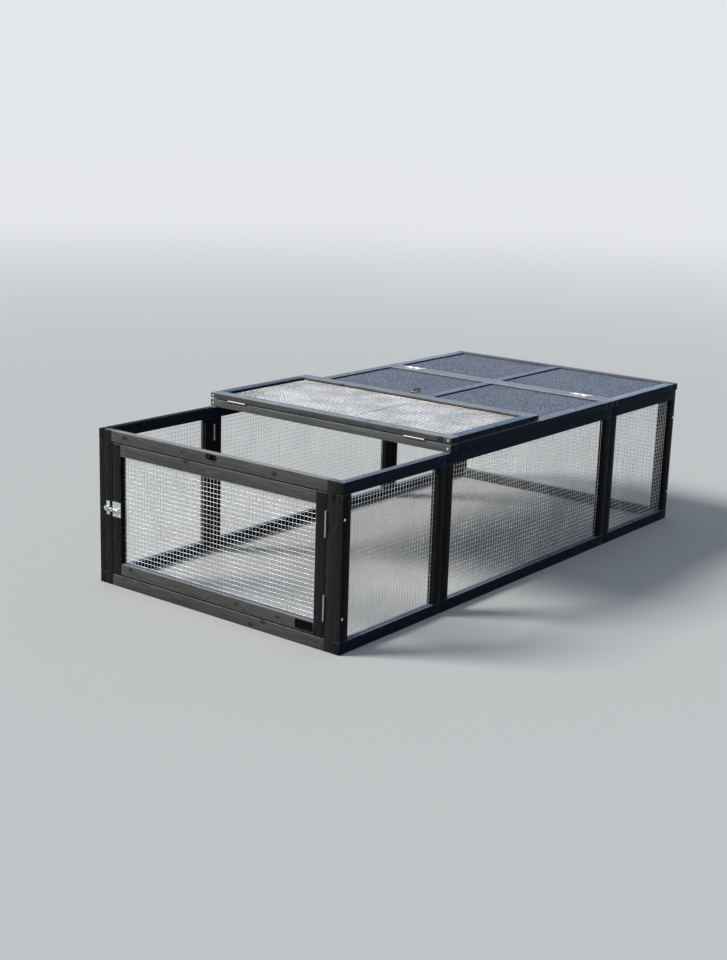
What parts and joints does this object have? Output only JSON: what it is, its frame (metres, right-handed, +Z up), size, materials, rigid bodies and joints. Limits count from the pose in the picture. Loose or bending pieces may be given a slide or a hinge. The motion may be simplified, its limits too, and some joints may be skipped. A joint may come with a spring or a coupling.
{
  "type": "outdoor rabbit run",
  "caption": "Low rectangular timber frame with wire mesh walls, a bolted front door, a felted roof over the middle, a folding mesh lid at the front and a felted lid at the rear.",
  "frame": {"origin": "on the ground, in the middle of the whole object's box at rest", "axes": "+X to the right when facing the door, +Y from the door end to the rear, +Z up"},
  "size_m": [0.896, 1.831, 0.5106],
  "materials": {
    "stained_timber": "rough-sawn softwood in a charcoal outdoor stain",
    "galvanised_mesh": "galvanised welded wire",
    "board": "thin exterior plywood",
    "felt": "mineral-faced roofing felt, blue-grey",
    "hinge_steel": "zinc-plated steel, slightly dulled",
    "bright_zinc": "bright zinc plate",
    "black_metal": "black, satin"
  },
  "bodies": {
    "frame": {"front_stiles": "stained_timber", "front_rails": "stained_timber", "rear_stiles": "stained_timber", "rear_rails": "stained_timber", "rear_mesh": "galvanised_mesh", "right_front_stiles": "stained_timber", "right_front_rails": "stained_timber", "right_front_mesh": "galvanised_mesh", "right_middle_stiles": "stained_timber", "right_middle_rails": "stained_timber", "right_middle_mesh": "galvanised_mesh", "right_rear_stiles": "stained_timber", "right_rear_rails": "stained_timber", "right_rear_mesh": "galvanised_mesh", "left_front_stiles": "stained_timber", "left_front_rails": "stained_timber", "left_front_mesh": "galvanised_mesh", "left_middle_stiles": "stained_timber", "left_middle_rails": "stained_timber", "left_middle_mesh": "galvanised_mesh", "left_rear_stiles": "stained_timber", "left_rear_rails": "stained_timber", "left_rear_mesh": "galvanised_mesh", "roof_cross_rails": "stained_timber", "roof_side_rails": "stained_timber", "roof_centre_bar": "stained_timber", "roof_boards": "board", "roof_felt": "felt", "roof_hinge_leaves": "hinge_steel", "door_post_hinge_leaves": "hinge_steel", "seam_hinge_leaves": "hinge_steel", "hinge_pins": "hinge_steel", "bolt_keeper": "bright_zinc", "staple_plate": "black_metal", "staple_loop": "black_metal", "frame_screws": "bright_zinc", "roof_screws": "bright_zinc"},
    "door": {"door_stiles": "stained_timber", "door_rails": "stained_timber", "door_mesh": "galvanised_mesh", "door_hinge_leaves": "hinge_steel", "door_plate": "black_metal", "bolt_plate": "bright_zinc"},
    "bolt": {"bolt_rod": "bright_zinc"},
    "mesh_lid": {"mesh_lid_cross_rails": "stained_timber", "mesh_lid_side_rails": "stained_timber", "mesh_lid_mesh": "galvanised_mesh", "mesh_lid_hinge_leaves": "hinge_steel", "mesh_lid_screws": "bright_zinc", "hasp_plate": "black_metal", "hasp_pin": "black_metal"},
    "hasp": {"hasp_strap": "black_metal"},
    "rear_lid": {"rear_lid_cross_rails": "stained_timber", "rear_lid_side_rails": "stained_timber", "rear_lid_centre_bar": "stained_timber", "rear_lid_boards": "board", "rear_lid_felt": "felt", "rear_lid_hinge_leaves": "hinge_steel", "rear_lid_screws": "bright_zinc"}
  },
  "joints": [
    {"name": "door_hinge", "type": "hinge", "parent": "frame", "child": "door", "pos_m": [0.39175, -0.90311, 0.2285], "axis": [0, 0, 1], "range_deg": [0, 175]},
    {"name": "bolt_slide", "type": "slide", "parent": "door", "child": "bolt", "axis": [1, 0, 0], "range_m": [0, 0.017]},
    {"name": "mesh_lid_hinge", "type": "hinge", "parent": "frame", "child": "mesh_lid", "pos_m": [0, -0.44396, 0.47945], "axis": [1, 0, 0], "range_deg": [0, 180]},
    {"name": "hasp_hinge", "type": "hinge", "parent": "mesh_lid", "child": "hasp", "pos_m": [-0.008, 0.01359, 0.4999], "axis": [-1, 0, 0], "range_deg": [-60, 65]},
    {"name": "rear_lid_hinge", "type": "hinge", "parent": "frame", "child": "rear_lid", "pos_m": [0, 0.46475, 0.47945], "axis": [1, 0, 0], "range_deg": [0, 172]}
  ]
}
